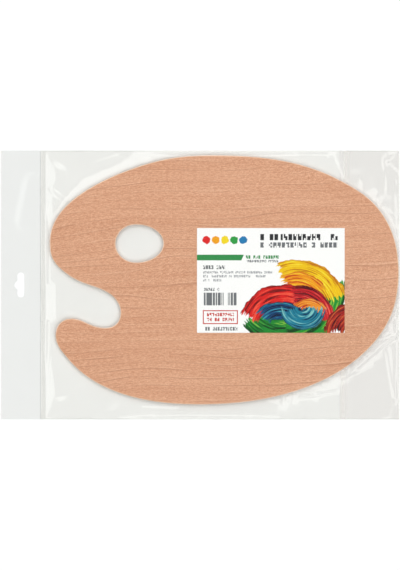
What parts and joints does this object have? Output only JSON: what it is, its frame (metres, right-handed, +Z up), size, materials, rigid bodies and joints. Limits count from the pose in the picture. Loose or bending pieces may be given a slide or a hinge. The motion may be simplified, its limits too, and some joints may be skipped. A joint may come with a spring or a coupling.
{
  "type": "mixing palette",
  "caption": "Oval plywood mixing palette with a thumb hole and finger notch, lying with a printed card in a clear bag that has a hang slot and a closing flap.",
  "frame": {"origin": "middle of the bag's outline, on the surface that the bag lies on", "axes": "+X along the bag's length, from the header with the hang slot to the open end; +Z up out of the palette's face; +Y across the bag, towards the long side that the thumb hole is nearer"},
  "size_m": [0.4, 0.27, 0.0049],
  "materials": {
    "beech_veneer": "satin",
    "beech_core": "matte",
    "printed_card": "satin",
    "clear_film": "gloss",
    "header_film": "gloss",
    "weld": "gloss",
    "glue": "satin",
    "liner_film": "gloss"
  },
  "bodies": {
    "palette": {"rear_veneer": "beech_veneer", "core_veneer": "beech_core", "face_veneer": "beech_veneer"},
    "card": {"insert_card": "printed_card"},
    "bag": {"bag_back_film": "clear_film", "bag_front_film": "clear_film", "header_strip": "header_film", "header_weld": "weld", "upper_side_weld": "weld", "lower_side_weld": "weld"},
    "flap": {"closing_flap": "clear_film", "adhesive_strip": "glue", "strip_liner": "liner_film"}
  },
  "joints": [
    {"name": "bag_slide", "type": "slide", "parent": "palette", "child": "bag", "axis": [-1, 0, 0], "range_m": [0, 0.36]},
    {"name": "card_slide", "type": "slide", "parent": "palette", "child": "card", "axis": [1, 0, 0], "range_m": [0, 0.21]},
    {"name": "flap_hinge", "type": "hinge", "parent": "bag", "child": "flap", "pos_m": [0.2, 0, 0.00025], "axis": [0, -1, 0], "range_deg": [0, 180]}
  ]
}
